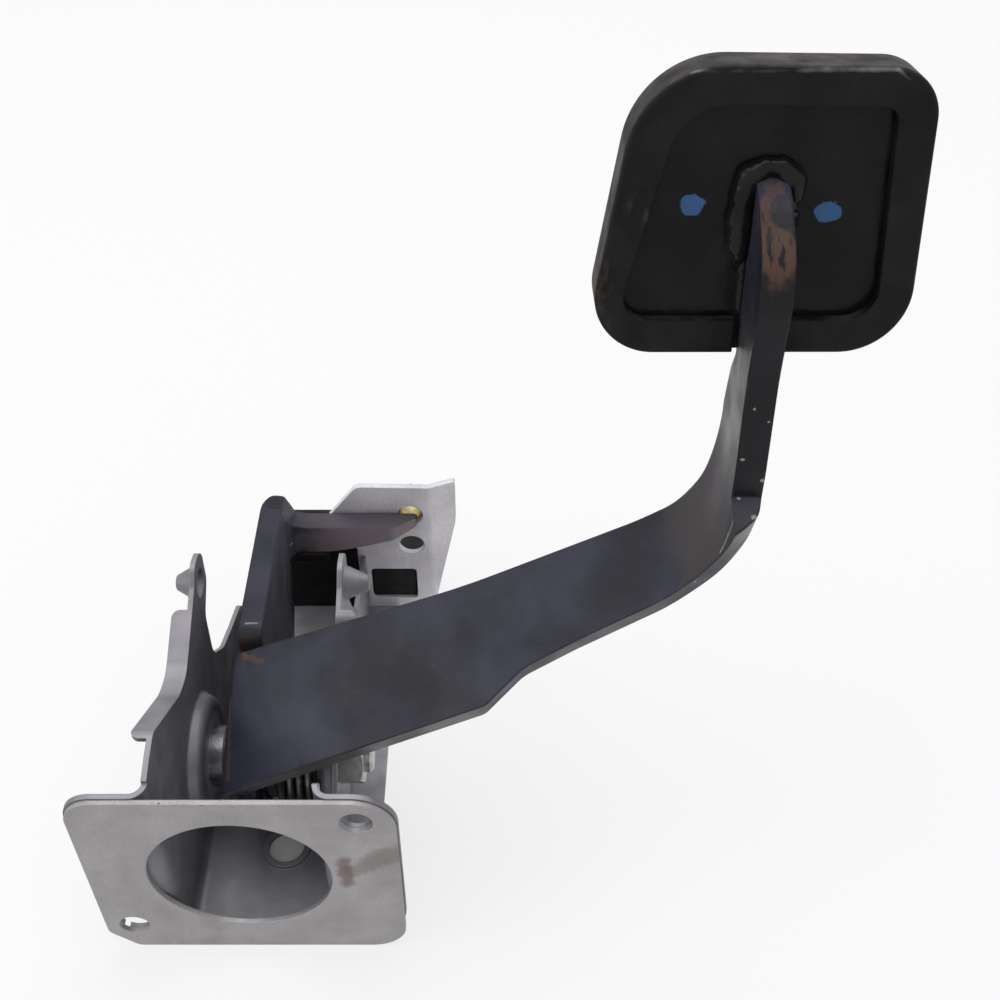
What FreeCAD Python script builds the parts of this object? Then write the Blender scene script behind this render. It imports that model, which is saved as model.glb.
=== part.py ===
import FreeCAD, Part
import math
import os

# Clutch pedal on its bracket, as it stands on a table: the bracket's web is down, the
# fixing flange faces forward (-Y), and the pad's back faces forward too. The origin is the
# centre of the large flange hole on the flange's front face. Millimetres, +Z up.

V = FreeCAD.Vector
X_AXIS = V(1, 0, 0)
Y_AXIS = V(0, 1, 0)
Z_AXIS = V(0, 0, 1)

# Fixing flange
FLANGE_LEFT = -41.5
FLANGE_RIGHT = 43.5
FLANGE_TOP = 34.5
FLANGE_THICKNESS = 1.5
FLANGE_CORNER_TOP_LEFT = 8.0
FLANGE_CORNER_TOP_RIGHT = 12.0
FLANGE_CORNER_BOTTOM_RIGHT = 10.0
FLANGE_CHAMFER = 7.5
CYLINDER_HOLE = 50.0
STUD_HOLE = 8.8
STUD_X = 33.3
STUD_Z = 26.0

# Folded channel bracket
BASE_Z = -37.5
SHEET = 1.5
CHANNEL_HALF_WIDTH = 22.5
CHANNEL_MIDDLE_X = 1.2
CHANNEL_LENGTH = 130.0
SHEET_BEND = 3.0
TAB_MARGIN = 0.4
TAB_FOOT_GAP = 6.5
LIP_WIDTH = 6.0
LIP_START_Y = 17.0
LIP_END_Y = 69.5
LIP_CORNER = 2.5
RIGHT_LIP_START_Y = 62.0
FOOT_WIDTH = 10.0
FOOT_START_Y = 16.0
WEB_HOLE = 11.0
WEB_HOLE_X = 5.0
WEB_HOLE_Y = 31.0
WEB_HOLE_RIM = 1.8
EAR_Y = 82.0
EAR_Z = 29.5
EAR_RADIUS = 7.5
DIMPLE_Z = 28.2
DIMPLE_RADIUS = 5.4
DIMPLE_HEIGHT = 5.5
RIGHT_DIMPLE_HEIGHT = 7.5
DIMPLE_TIP_RADIUS = 1.6

# Pivot
PIVOT_Y = 47.0
PIVOT_Z = -10.5
BOSS_RADIUS = 18.5
BOSS_FLAT_RADIUS = 16.5
BOSS_DEPTH = 4.0
BOSS_MARGIN = 1.6
BOLT_DIAMETER = 10.0
BOLT_CLEARANCE = 0.2
SLEEVE_WALL = 1.5
BUSH_WALL = 2.0
BUSH_FLANGE = 1.5
BUSH_FLANGE_RADIUS = 11.0
BUSH_GAP = 2.2
COLLAR_RADIUS = 9.0
RUNNING_CLEARANCE = 0.05
SIDE_CLEARANCE = 0.3
HUB_WALL = 3.5
HUB_OVERHANG = 2.8
WASHER_THICKNESS = 2.0
WASHER_RADIUS = 11.0
HEAD_ACROSS_FLATS = 16.0
HEAD_HEIGHT = 6.5
NUT_HEIGHT = 8.0
THREAD_END = 2.5
EDGE_BREAK = 0.8

# Pedal arm, one bar folded from plate: side plate, lateral part, upright and rear blade
ARM_PLATE = 7.0
SIDE_OUTER_X = -7.0
UPRIGHT_INNER_X = 124.0
LATERAL_RISE = 0.555
LATERAL_START_N = -1.25
WIDTH_TILT = 22.34
LEFT_BEND = 4.0
LEFT_OVERHANG = 1.7
LEFT_EDGE = 3.0
SIDE_FRONT_Y = 65.8
RIGHT_BEND = 34.0
TRIM_REACH = 13.0
NEAR_EDGE_START_W = 23.0
FAR_EDGE_START_W = 64.0
UPRIGHT_NEAR_W = 73.2
UPRIGHT_FAR_W = 98.7
SIDE_TOP_Z = 24.2
HUB_EYE_RADIUS = 17.0
BLADE_REAR_GAP = 1.0
BLADE_BOTTOM_Z = 0.0
BLADE_TOP_Z = 11.5
BLADE_TIP_X = 42.5
BLADE_BEND = 4.0
PUSHROD_HOLE = 8.2
PUSHROD_Y = 54.0
PUSHROD_Z = 12.5

# Pad
PAD_X = 127.0
PAD_Y = 60.0
PAD_Z = 169.0
PAD_LEAN = 11.31
PAD_PLATE = 3.0
PAD_LIP = 3.0
PAD_TREAD = 6.5
PAD_WALL = 3.0
PAD_LIP_WIDTH = 8.0
TREAD_RIB = 1.5
TREAD_RIB_WIDTH = 3.0
TREAD_RIB_PITCH = 6.5
TREAD_RIBS = 8
TREAD_MARGIN = 6.0
RUBBER_EDGE = 1.8
RUBBER_LIP_EDGE = 1.0
ARM_NOTCH_CLEARANCE = 1.5

# Rear plate and up-stop
REAR_SHEET = 2.0
REAR_HOLE = 8.6
REAR_HOLE_X = 40.0
REAR_UPPER_HOLE_Z = 9.5
REAR_LOWER_HOLE_Z = -4.5
WINDOW_LEFT = 25.0
WINDOW_RIGHT = 41.0
WINDOW_BOTTOM = -31.5
WINDOW_TOP = -16.5
REAR_FOLD_X = 46.7
REAR_FOLD_ANGLE = 22.0
REAR_FLANGE_LENGTH = 10.5
NUT_ACROSS_FLATS = 12.0
WELD_NUT_HEIGHT = 6.5
WELD_NUT_THREAD = 6.8
BUMPER_DEPTH = 11.0
BUMPER_NOSE = 8.5
BUMPER_NOSE_HEIGHT = 9.0
BUMPER_LEFT = -8.0
BUMPER_RIGHT = 43.5
BUMPER_RIGHT_TOP = -11.0
BUMPER_LUG = 1.0
BUMPER_GAP = 0.3
BUMPER_EDGE = 1.5

# Return spring
WIRE = 2.4
SPRING_TURNS = 3
SPRING_PITCH = 2.7
SPRING_HUB_CLEARANCE = 1.2
HOOK_CLEARANCE = 0.4
SPRING_END_GAP = 1.9

# Derived sizes
TAB_FRONT_Y = FLANGE_THICKNESS
TAB_BACK_Y = FLANGE_THICKNESS + SHEET
CHANNEL_INNER = CHANNEL_HALF_WIDTH - SHEET
WEB_TOP_Z = BASE_Z + SHEET
BOSS_INNER_X = CHANNEL_INNER - BOSS_DEPTH
BOSS_OUTER_X = BOSS_INNER_X + SHEET
BOLT_RADIUS = BOLT_DIAMETER / 2
BOLT_HOLE_RADIUS = BOLT_RADIUS + BOLT_CLEARANCE
SLEEVE_RADIUS = BOLT_HOLE_RADIUS + SLEEVE_WALL
BUSH_INNER_RADIUS = SLEEVE_RADIUS + RUNNING_CLEARANCE
BUSH_RADIUS = BUSH_INNER_RADIUS + BUSH_WALL
HUB_RADIUS = BUSH_RADIUS + HUB_WALL
HUB_RIGHT_X = CHANNEL_MIDDLE_X + BOSS_INNER_X - SIDE_CLEARANCE - BUSH_FLANGE
HUB_LEFT_X = SIDE_OUTER_X - HUB_OVERHANG
BUSH_LENGTH = (HUB_RIGHT_X - HUB_LEFT_X - BUSH_GAP) / 2
SIDE_INNER_X = SIDE_OUTER_X + ARM_PLATE
LATERAL_LEFT_X = SIDE_OUTER_X - LEFT_OVERHANG
UPRIGHT_OUTER_X = UPRIGHT_INNER_X + ARM_PLATE
BLADE_BACK_Y = CHANNEL_LENGTH - BLADE_REAR_GAP
BLADE_FRONT_Y = BLADE_BACK_Y - ARM_PLATE
REAR_FRONT_Y = CHANNEL_LENGTH
REAR_BACK_Y = REAR_FRONT_Y + REAR_SHEET
TILT = math.radians(WIDTH_TILT)
LEAN = math.radians(PAD_LEAN)
RISE_ANGLE = math.atan(LATERAL_RISE)
HALF_TURN = (math.pi / 2 - RISE_ANGLE) / 2
SPRING_RADIUS = HUB_RADIUS + SPRING_HUB_CLEARANCE + WIRE / 2
SPRING_FIXED_X = HUB_RIGHT_X - SPRING_END_GAP


def in_arm(x, n, w):
    """A point of the arm: x across the car, w along the fold lines, n square to both."""
    y = w * math.cos(TILT) - n * math.sin(TILT)
    z = w * math.sin(TILT) + n * math.cos(TILT)
    return V(x, y, z)


def in_pad(u, v, t):
    """A point of the pad: u across, v up the plate, t from the plate's back to the driver."""
    y = PAD_Y + v * math.sin(LEAN) + t * math.cos(LEAN)
    z = PAD_Z + v * math.cos(LEAN) - t * math.sin(LEAN)
    return V(PAD_X + u, y, z)


def outline(points, place):
    """A face from corner points (a, b) or (a, b, radius), each corner rounded by its radius."""
    corners = [V(p[0], p[1], 0) for p in points]
    radii = [p[2] if len(p) > 2 else 0 for p in points]
    stations = []
    for i, corner in enumerate(corners):
        before = (corners[i - 1] - corner).normalize()
        after = (corners[(i + 1) % len(corners)] - corner).normalize()
        if not radii[i]:
            stations.append((corner, None, corner))
            continue
        half = before.getAngle(after) / 2
        reach = radii[i] / math.tan(half)
        inward = (before + after).normalize()
        middle = corner + inward * (radii[i] / math.sin(half) - radii[i])
        stations.append((corner + before * reach, middle, corner + after * reach))
    edges = []
    for i, (start, middle, end) in enumerate(stations):
        if middle is not None:
            arc = Part.Arc(place(start.x, start.y), place(middle.x, middle.y), place(end.x, end.y))
            edges.append(arc.toShape())
        following = stations[(i + 1) % len(stations)][0]
        if end.distanceToPoint(following) > 1e-6:
            line = Part.LineSegment(place(end.x, end.y), place(following.x, following.y))
            edges.append(line.toShape())
    return Part.Face(Part.Wire(edges))


def plate_x(points, x_start, x_end):
    """A plate standing in YZ, from x_start to x_end."""
    face = outline(points, lambda a, b: V(x_start, a, b))
    return face.extrude(V(x_end - x_start, 0, 0))


def plate_y(points, y_start, y_end):
    """A plate standing in XZ, from y_start to y_end."""
    face = outline(points, lambda a, b: V(a, y_start, b))
    return face.extrude(V(0, y_end - y_start, 0))


def plate_z(points, z_start, z_end):
    """A plate lying in XY, from z_start to z_end."""
    face = outline(points, lambda a, b: V(a, b, z_start))
    return face.extrude(V(0, 0, z_end - z_start))


def block(x_start, x_end, y_start, y_end, z_start, z_end):
    size = (x_end - x_start, y_end - y_start, z_end - z_start)
    return Part.makeBox(*size, V(x_start, y_start, z_start))


def tube_x(radius, x_start, x_end, y=PIVOT_Y, z=PIVOT_Z):
    return Part.makeCylinder(radius, x_end - x_start, V(x_start, y, z), X_AXIS)


def turned_x(points, y, z):
    """A solid turned about a line along X, from (x, radius) points."""
    face = outline(points, lambda a, b: V(a, y + b, z))
    return face.revolve(V(0, y, z), X_AXIS, 360)


def hexagon_x(across_flats, x_start, x_end, y, z):
    corner = across_flats / math.sqrt(3)
    points = []
    for i in range(6):
        angle = math.radians(60 * i)
        points.append((y + corner * math.cos(angle), z + corner * math.sin(angle)))
    return plate_x(points, x_start, x_end)


def save(shape, name):
    shape.exportStep("parts/" + name + ".step")


def flange_outline(margin, foot):
    """The flange's outline in XZ, grown by margin at its top and sides."""
    left = FLANGE_LEFT - margin
    right = FLANGE_RIGHT + margin
    top = FLANGE_TOP + margin
    return [
        (left, top, FLANGE_CORNER_TOP_LEFT),
        (right, top, FLANGE_CORNER_TOP_RIGHT),
        (right, foot, FLANGE_CORNER_BOTTOM_RIGHT),
        (left + FLANGE_CHAMFER, foot, FLANGE_CHAMFER / 2),
        (left, foot + FLANGE_CHAMFER, FLANGE_CHAMFER / 2),
    ]


def stud_holes():
    cuts = []
    for side in (1, -1):
        centre = V(side * STUD_X, -1, side * STUD_Z)
        cuts.append(Part.makeCylinder(STUD_HOLE / 2, TAB_BACK_Y + 2, centre, Y_AXIS))
    return cuts


def make_flange_plate():
    plate = plate_y(flange_outline(0, BASE_Z), 0, FLANGE_THICKNESS)
    cylinder_hole = Part.makeCylinder(CYLINDER_HOLE / 2, FLANGE_THICKNESS + 2, V(0, -1, 0), Y_AXIS)
    return plate.cut([cylinder_hole] + stud_holes())


def left_wall_outline():
    """The left wall's side view: its top edge dips behind the lip and rises to the ear."""
    end = CHANNEL_LENGTH
    return [
        (TAB_FRONT_Y, BASE_Z),
        (TAB_FRONT_Y, FLANGE_TOP),
        (12.0, 38.0, 6.0),
        (18.5, 39.6, 4.0),
        (43.5, 23.6, 14.0),
        (52.0, 22.0, 10.0),
        (68.0, 29.3, 6.0),
        (EAR_Y - 6.5, EAR_Z + 3.5, 3.0),
        (EAR_Y - 2.0, EAR_Z + EAR_RADIUS + 0.4, 4.5),
        (EAR_Y + EAR_RADIUS, EAR_Z + 6.5, 5.5),
        (EAR_Y + EAR_RADIUS - 1.0, EAR_Z - 6.5, 4.0),
        (EAR_Y - 2.2, EAR_Z - 13.5, 5.0),
        (EAR_Y - 3.0, -1.5, 9.0),
        (90.6, -12.0, 12.0),
        (105.0, -17.8, 20.0),
        (118.3, -22.4, 6.0),
        (end - 4.0, WEB_TOP_Z + 2.0, 3.0),
        (end, WEB_TOP_Z + 2.0),
        (end, BASE_Z),
    ]


def right_wall_outline():
    """The right wall's side view: an opening that the arm swings into, then the ear's post."""
    end = CHANNEL_LENGTH
    return [
        (TAB_FRONT_Y, BASE_Z),
        (TAB_FRONT_Y, FLANGE_TOP),
        (8.0, FLANGE_TOP, 3.0),
        (7.6, -9.0, 6.0),
        (21.0, -9.0, 8.0),
        (36.0, 9.0, 14.0),
        (60.0, 18.5, 8.0),
        (67.0, 28.8, 4.0),
        (EAR_Y - 6.5, EAR_Z + 3.5, 3.0),
        (EAR_Y - 2.0, EAR_Z + EAR_RADIUS + 0.4, 4.5),
        (EAR_Y + EAR_RADIUS, EAR_Z + 6.5, 5.5),
        (EAR_Y + EAR_RADIUS - 1.0, EAR_Z - 6.5, 4.0),
        (EAR_Y + 3.0, EAR_Z - 12.0, 6.0),
        (97.0, -4.0, 12.0),
        (end, -10.0),
        (end, BASE_Z),
    ]


def make_wall_boss(side):
    """The dish pressed inward round the pivot bolt, one sheet thick."""
    outer = side * CHANNEL_HALF_WIDTH
    inner = side * CHANNEL_INNER
    flat_outer = side * BOSS_OUTER_X
    flat_inner = side * BOSS_INNER_X
    points = [
        (outer, BOSS_RADIUS + BOSS_MARGIN),
        (outer, BOSS_RADIUS, 2.0),
        (flat_outer, BOSS_FLAT_RADIUS, 1.5),
        (flat_outer, BOLT_HOLE_RADIUS),
        (flat_inner, BOLT_HOLE_RADIUS),
        (flat_inner, BOSS_FLAT_RADIUS + 0.6, 3.0),
        (inner, BOSS_RADIUS + 0.6, 1.0),
        (inner, BOSS_RADIUS + BOSS_MARGIN),
    ]
    return turned_x(points, PIVOT_Y, PIVOT_Z)


def make_ear_dimple(side):
    """The hollow cone pressed outward in an ear."""
    outer = side * CHANNEL_HALF_WIDTH
    inner = side * CHANNEL_INNER
    height = RIGHT_DIMPLE_HEIGHT if side > 0 else DIMPLE_HEIGHT
    tip = outer + side * height
    cone = turned_x(
        [
            (inner, 0),
            (inner, DIMPLE_RADIUS),
            (outer, DIMPLE_RADIUS, 0.6),
            (tip, DIMPLE_TIP_RADIUS + 0.6, 1.0),
            (tip, 0),
        ],
        EAR_Y,
        DIMPLE_Z,
    )
    hollow = turned_x(
        [
            (inner - side, 0),
            (inner - side, DIMPLE_RADIUS - 1.0),
            (inner, DIMPLE_RADIUS - 1.0),
            (tip - side * SHEET, DIMPLE_TIP_RADIUS - 0.8),
            (tip - side * SHEET, 0),
        ],
        EAR_Y,
        DIMPLE_Z,
    )
    return cone, hollow


def make_tab(side):
    """A wall's front tab, folded outward behind the flange."""
    wall_outer = CHANNEL_MIDDLE_X + side * CHANNEL_HALF_WIDTH
    wall_inner = CHANNEL_MIDDLE_X + side * CHANNEL_INNER
    edge = FLANGE_RIGHT if side > 0 else FLANGE_LEFT
    reach = edge + side * TAB_MARGIN
    wall_end = TAB_BACK_Y + SHEET_BEND
    section = [
        (reach, TAB_FRONT_Y),
        (wall_inner, TAB_FRONT_Y, SHEET_BEND + SHEET),
        (wall_inner, wall_end),
        (wall_outer, wall_end),
        (wall_outer, TAB_BACK_Y, SHEET_BEND),
        (reach, TAB_BACK_Y),
    ]
    foot = BASE_Z + TAB_FOOT_GAP
    top = FLANGE_TOP + TAB_MARGIN
    folded = plate_z(section, foot, top)
    return folded.common(plate_y(flange_outline(TAB_MARGIN, foot), TAB_FRONT_Y, wall_end))


def make_lip(side, wall_outline, start_y):
    """The lip folded outward along a wall's top edge, up to the ear."""
    inner = side * CHANNEL_INNER
    reach = inner + side * LIP_WIDTH
    body = plate_x(wall_outline, inner, reach)
    under = body.translated(V(0, 0, -SHEET))
    zone = plate_z(
        [
            (inner, start_y),
            (reach, start_y, LIP_CORNER),
            (reach, LIP_END_Y, LIP_CORNER),
            (inner, LIP_END_Y),
        ],
        0,
        EAR_Z + 2 * EAR_RADIUS,
    )
    return body.cut(under).common(zone)


def make_channel_bracket():
    half = CHANNEL_HALF_WIDTH
    inner = CHANNEL_INNER
    high = EAR_Z + 2 * EAR_RADIUS
    section = [
        (-half, high),
        (-half, BASE_Z, SHEET_BEND + SHEET),
        (half, BASE_Z, SHEET_BEND + SHEET),
        (half, high),
        (inner, high),
        (inner, WEB_TOP_Z, SHEET_BEND),
        (-inner, WEB_TOP_Z, SHEET_BEND),
        (-inner, high),
    ]
    channel = plate_y(section, TAB_FRONT_Y, CHANNEL_LENGTH)
    reach = half + 1
    left = channel.common(plate_x(left_wall_outline(), -reach, 0))
    right = channel.common(plate_x(right_wall_outline(), 0, reach))
    bracket = left.fuse(right)

    foot_start = half - 2 * SHEET
    foot = block(foot_start, half + FOOT_WIDTH, FOOT_START_Y, CHANNEL_LENGTH, BASE_Z, WEB_TOP_Z)
    left_lip = make_lip(-1, left_wall_outline(), LIP_START_Y)
    right_lip = make_lip(1, right_wall_outline(), RIGHT_LIP_START_Y)
    bracket = bracket.fuse([left_lip, right_lip, foot])

    for side in (1, -1):
        hole = tube_x(BOSS_RADIUS + BOSS_MARGIN, min(0, side * reach), max(0, side * reach))
        bracket = bracket.cut(hole).fuse(make_wall_boss(side))
        cone, hollow = make_ear_dimple(side)
        bracket = bracket.fuse(cone).cut(hollow)

    bracket.translate(V(CHANNEL_MIDDLE_X, 0, 0))
    tab_end = TAB_BACK_Y + SHEET_BEND
    tab_foot = BASE_Z + TAB_FOOT_GAP
    corner = block(-half - LIP_WIDTH, half + LIP_WIDTH, 0, tab_end, tab_foot, high)
    bracket = bracket.cut(corner).fuse([make_tab(1), make_tab(-1)])

    centre = V(WEB_HOLE_X, WEB_HOLE_Y, BASE_Z)
    rim = Part.makeCylinder(WEB_HOLE / 2 + WEB_HOLE_RIM, SHEET + 1.0, centre, Z_AXIS)
    bore = Part.makeCylinder(WEB_HOLE / 2, SHEET + 2.0, centre, Z_AXIS)
    bracket = bracket.fuse(rim).cut(bore)
    spring_y = PIVOT_Y - SPRING_RADIUS
    hook = V(SPRING_FIXED_X, spring_y, BASE_Z - SHEET / 2)
    hook_hole = Part.makeCylinder(WIRE / 2 + HOOK_CLEARANCE, 3 * SHEET, hook)
    bracket = bracket.cut([hook_hole] + stud_holes())
    return bracket.removeSplitter()


def make_rear_plate():
    """The rear fixing plate, with its right edge folded back."""
    outline_points = [
        (CHANNEL_HALF_WIDTH, 22.5, 4.0),
        (55.2, 21.8, 1.0),
        (55.2, 4.0, 20.0),
        (46.5, BASE_Z, 1.0),
        (CHANNEL_INNER, BASE_Z, 0.5),
        (CHANNEL_INNER, -6.0, 3.0),
        (12.5, 3.0, 3.0),
        (12.5, 9.0, 2.0),
    ]
    swing = math.radians(REAR_FOLD_ANGLE)
    run = (math.cos(swing), math.sin(swing))
    fold_back = (REAR_FOLD_X - REAR_SHEET * math.tan(swing / 2), REAR_BACK_Y)
    end_front = (REAR_FOLD_X + REAR_FLANGE_LENGTH * run[0], REAR_FRONT_Y + REAR_FLANGE_LENGTH * run[1])
    end_back = (end_front[0] - REAR_SHEET * run[1], end_front[1] + REAR_SHEET * run[0])
    section = [
        (12.0, REAR_FRONT_Y),
        (REAR_FOLD_X, REAR_FRONT_Y, SHEET_BEND),
        end_front,
        end_back,
        (fold_back[0], fold_back[1], SHEET_BEND / 2),
        (12.0, REAR_BACK_Y),
    ]
    sheet = plate_z(section, BASE_Z, 30.0)
    plate = sheet.common(plate_y(outline_points, REAR_FRONT_Y - 1, end_back[1] + 1))
    window = [
        (WINDOW_LEFT, WINDOW_BOTTOM, 1.5),
        (WINDOW_RIGHT, WINDOW_BOTTOM, 1.5),
        (WINDOW_RIGHT, WINDOW_TOP, 1.5),
        (WINDOW_LEFT, WINDOW_TOP, 1.5),
    ]
    cuts = [plate_y(window, REAR_FRONT_Y - 1, REAR_BACK_Y + 1)]
    for z in (REAR_UPPER_HOLE_Z, REAR_LOWER_HOLE_Z):
        centre = V(REAR_HOLE_X, REAR_FRONT_Y - 1, z)
        cuts.append(Part.makeCylinder(REAR_HOLE / 2, REAR_SHEET + 2, centre, Y_AXIS))
    return plate.cut(cuts)


def make_rear_weld_nut():
    corner = NUT_ACROSS_FLATS / math.sqrt(3)
    points = []
    for i in range(6):
        angle = math.radians(60 * i + 30)
        x = REAR_HOLE_X + corner * math.cos(angle)
        z = REAR_UPPER_HOLE_Z + corner * math.sin(angle)
        points.append((x, z))
    nut = plate_y(points, REAR_BACK_Y, REAR_BACK_Y + WELD_NUT_HEIGHT)
    centre = V(REAR_HOLE_X, REAR_BACK_Y - 1, REAR_UPPER_HOLE_Z)
    return nut.cut(Part.makeCylinder(WELD_NUT_THREAD / 2, WELD_NUT_HEIGHT + 2, centre, Y_AXIS))


def make_stop_bumper(rear_plate):
    """The rubber up-stop: its nose lies under the blade, its lug fills the plate's window."""
    top = BLADE_BOTTOM_Z - BUMPER_GAP
    back = REAR_BACK_Y + BUMPER_DEPTH
    inner = CHANNEL_INNER
    body = plate_y(
        [
            (BUMPER_LEFT, BASE_Z, BUMPER_EDGE),
            (BUMPER_RIGHT, BASE_Z, BUMPER_EDGE),
            (BUMPER_RIGHT, BUMPER_RIGHT_TOP, BUMPER_EDGE),
            (inner + 1.0, BUMPER_RIGHT_TOP, BUMPER_EDGE),
            (inner - 1.0, top, BUMPER_EDGE),
            (BUMPER_LEFT, top, BUMPER_EDGE),
        ],
        REAR_FRONT_Y,
        back,
    )
    plate_zone = block(inner - 9.0, BUMPER_RIGHT + 1, REAR_FRONT_Y, REAR_BACK_Y, BASE_Z - 1, top + 1)
    below = block(inner - 9.0, inner, REAR_FRONT_Y, REAR_BACK_Y, BASE_Z - 1, -8.0)
    body = body.cut(plate_zone.cut(below))
    nose = plate_x(
        [
            (REAR_FRONT_Y + 1.0, top),
            (REAR_FRONT_Y + 1.0, top - BUMPER_NOSE_HEIGHT),
            (REAR_FRONT_Y, top - BUMPER_NOSE_HEIGHT),
            (REAR_FRONT_Y - BUMPER_NOSE, top - BUMPER_NOSE_HEIGHT / 2, BUMPER_EDGE),
            (REAR_FRONT_Y - BUMPER_NOSE, top, BUMPER_EDGE),
        ],
        SIDE_INNER_X + 1.0,
        inner - 9.0,
    )
    lug = block(
        WINDOW_LEFT + 0.5,
        WINDOW_RIGHT - 0.5,
        REAR_BACK_Y - BUMPER_LUG,
        REAR_BACK_Y,
        WINDOW_BOTTOM + 0.5,
        WINDOW_TOP - 0.5,
    )
    return body.fuse([nose, lug]).cut(rear_plate).removeSplitter()


def make_pivot_bolt():
    head_face = CHANNEL_MIDDLE_X - BOSS_OUTER_X - WASHER_THICKNESS
    thread_end = CHANNEL_MIDDLE_X + BOSS_OUTER_X + WASHER_THICKNESS + NUT_HEIGHT + THREAD_END
    head = hexagon_x(HEAD_ACROSS_FLATS, head_face - HEAD_HEIGHT, head_face, PIVOT_Y, PIVOT_Z)
    round_off = turned_x(
        [
            (head_face - HEAD_HEIGHT, 0),
            (head_face - HEAD_HEIGHT, HEAD_ACROSS_FLATS / 2 - 0.4),
            (head_face - HEAD_HEIGHT + 1.2, HEAD_ACROSS_FLATS / math.sqrt(3)),
            (head_face, HEAD_ACROSS_FLATS / math.sqrt(3)),
            (head_face, 0),
        ],
        PIVOT_Y,
        PIVOT_Z,
    )
    shank = turned_x(
        [
            (head_face, 0),
            (head_face, BOLT_RADIUS),
            (thread_end - EDGE_BREAK, BOLT_RADIUS),
            (thread_end, BOLT_RADIUS - EDGE_BREAK),
            (thread_end, 0),
        ],
        PIVOT_Y,
        PIVOT_Z,
    )
    return head.common(round_off).fuse(shank)


def make_pivot_nut():
    face = CHANNEL_MIDDLE_X + BOSS_OUTER_X + WASHER_THICKNESS
    nut = hexagon_x(HEAD_ACROSS_FLATS, face, face + NUT_HEIGHT, PIVOT_Y, PIVOT_Z)
    corner = HEAD_ACROSS_FLATS / math.sqrt(3)
    flat = HEAD_ACROSS_FLATS / 2
    barrel = turned_x(
        [
            (face, 0),
            (face, flat),
            (face + EDGE_BREAK, corner),
            (face + NUT_HEIGHT - EDGE_BREAK, corner),
            (face + NUT_HEIGHT, flat),
            (face + NUT_HEIGHT, 0),
        ],
        PIVOT_Y,
        PIVOT_Z,
    )
    bore = tube_x(BOLT_RADIUS, face - 1, face + NUT_HEIGHT + 1)
    return nut.common(barrel).cut(bore)


def make_pivot_washers():
    washers = []
    for offset in (-BOSS_OUTER_X - WASHER_THICKNESS, BOSS_OUTER_X):
        start = CHANNEL_MIDDLE_X + offset
        disc = tube_x(WASHER_RADIUS, start, start + WASHER_THICKNESS)
        washers.append(disc.cut(tube_x(BOLT_HOLE_RADIUS, start - 1, start + WASHER_THICKNESS + 1)))
    return Part.makeCompound(washers)


def make_spacer_sleeve():
    """The sleeve that the hub turns on; its collar fills the gap on the left."""
    start = CHANNEL_MIDDLE_X - BOSS_INNER_X
    end = CHANNEL_MIDDLE_X + BOSS_INNER_X
    sleeve = tube_x(SLEEVE_RADIUS, start, end)
    collar = tube_x(COLLAR_RADIUS, start, HUB_LEFT_X - BUSH_FLANGE - SIDE_CLEARANCE)
    return sleeve.fuse(collar).cut(tube_x(BOLT_HOLE_RADIUS, start - 1, end + 1))


def make_bush(side):
    """A flanged plastic bush, pressed into one end of the hub."""
    end = HUB_RIGHT_X if side > 0 else HUB_LEFT_X
    points = [
        (end + side * BUSH_FLANGE, BUSH_INNER_RADIUS),
        (end + side * BUSH_FLANGE, BUSH_FLANGE_RADIUS),
        (end, BUSH_FLANGE_RADIUS),
        (end, BUSH_RADIUS),
        (end - side * BUSH_LENGTH, BUSH_RADIUS),
        (end - side * BUSH_LENGTH, BUSH_INNER_RADIUS),
    ]
    return turned_x(points, PIVOT_Y, PIVOT_Z)


def make_pivot_hub():
    hub = tube_x(HUB_RADIUS, HUB_LEFT_X, HUB_RIGHT_X)
    return hub.cut(tube_x(BUSH_RADIUS, HUB_LEFT_X - 1, HUB_RIGHT_X + 1))


def lateral_upper(x):
    return LATERAL_RISE * x + LATERAL_START_N


def lateral_lower(x):
    return lateral_upper(x) - ARM_PLATE / math.cos(RISE_ANGLE)


def right_bend_n():
    """Where the right bend runs out into the upright."""
    return lateral_upper(UPRIGHT_INNER_X) + RIGHT_BEND * math.tan(HALF_TURN)


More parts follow.
